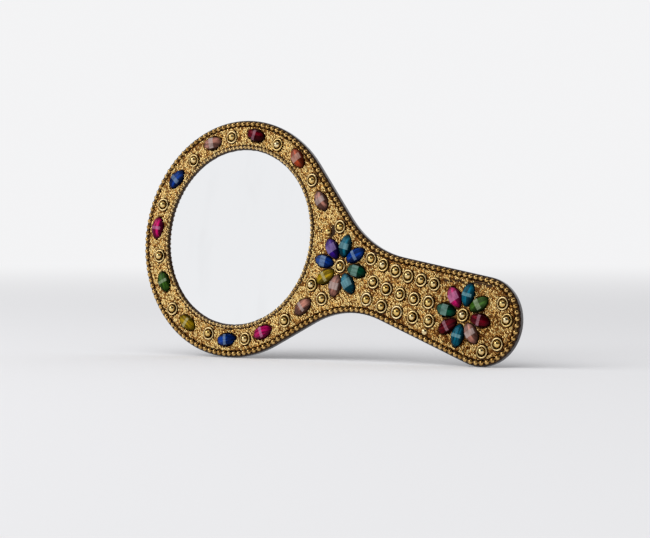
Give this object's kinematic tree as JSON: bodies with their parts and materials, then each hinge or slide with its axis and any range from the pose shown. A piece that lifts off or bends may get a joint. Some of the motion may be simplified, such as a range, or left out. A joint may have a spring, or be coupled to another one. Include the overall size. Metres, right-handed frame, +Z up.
{
  "type": "hand mirror",
  "caption": "Paddle-shaped hand mirror: round glass in a gold lac bed set with coloured cut stones, ball studs and ball chains, on a dark lacquered back.",
  "frame": {"origin": "below the middle of the mirror's length and thickness, on the line that it stands on", "axes": "+X along the standing line from the head to the handle end, +Y out of the back, +Z up; the glass faces -Y"},
  "size_m": [0.1992, 0.0058, 0.1036],
  "materials": {
    "lacquer": "dark gloss lacquer",
    "board": "sawn board",
    "gold_lac": "lac with gold glitter",
    "bedding": "dried adhesive",
    "mirror": "silvered glass",
    "chain": "polished, dark in the gaps",
    "stud_cup": "pale polished brass",
    "stud_ball": "polished brass",
    "stone_pale": "foil-backed cut glass",
    "stone_orange": "foil-backed cut glass",
    "stone_wine": "foil-backed cut glass",
    "stone_blue": "foil-backed cut glass",
    "stone_magenta": "foil-backed cut glass",
    "stone_green": "foil-backed cut glass",
    "stone_olive": "foil-backed cut glass",
    "stone_violet": "foil-backed cut glass",
    "stone_teal": "foil-backed cut glass",
    "stone_dark_green": "foil-backed cut glass"
  },
  "bodies": {
    "root": {"bare_balls": "stud_ball", "core_board": "board", "end_stud_balls": "stud_ball", "end_stud_cups": "stud_cup", "flower_stud_balls": "stud_ball", "flower_stud_cups": "stud_cup", "glass_bedding": "bedding", "glass_chain_balls": "chain", "glass_chain_links": "chain", "handle_petal_1": "stone_magenta", "handle_petal_2": "stone_teal", "handle_petal_3": "stone_green", "handle_petal_4": "stone_wine", "handle_petal_5": "stone_pale", "handle_petal_6": "stone_teal", "handle_petal_7": "stone_wine", "handle_petal_8": "stone_dark_green", "lac_front": "gold_lac", "lacquer_shell": "lacquer", "mirror_glass": "mirror", "neck_petal_1": "stone_violet", "neck_petal_2": "stone_teal", "neck_petal_3": "stone_blue", "neck_petal_4": "stone_dark_green", "neck_petal_5": "stone_teal", "neck_petal_6": "stone_pale", "neck_petal_7": "stone_olive", "neck_petal_8": "stone_blue", "neck_stud_balls": "stud_ball", "neck_stud_cups": "stud_cup", "rim_chain_balls": "chain", "rim_chain_links": "chain", "ring_stone_1": "stone_pale", "ring_stone_10": "stone_magenta", "ring_stone_11": "stone_pale", "ring_stone_2": "stone_orange", "ring_stone_3": "stone_wine", "ring_stone_4": "stone_pale", "ring_stone_5": "stone_blue", "ring_stone_6": "stone_magenta", "ring_stone_7": "stone_green", "ring_stone_8": "stone_olive", "ring_stone_9": "stone_blue", "ring_stud_balls": "stud_ball", "ring_stud_cups": "stud_cup", "row_stud_balls": "stud_ball", "row_stud_cups": "stud_cup"}
  },
  "joints": []
}
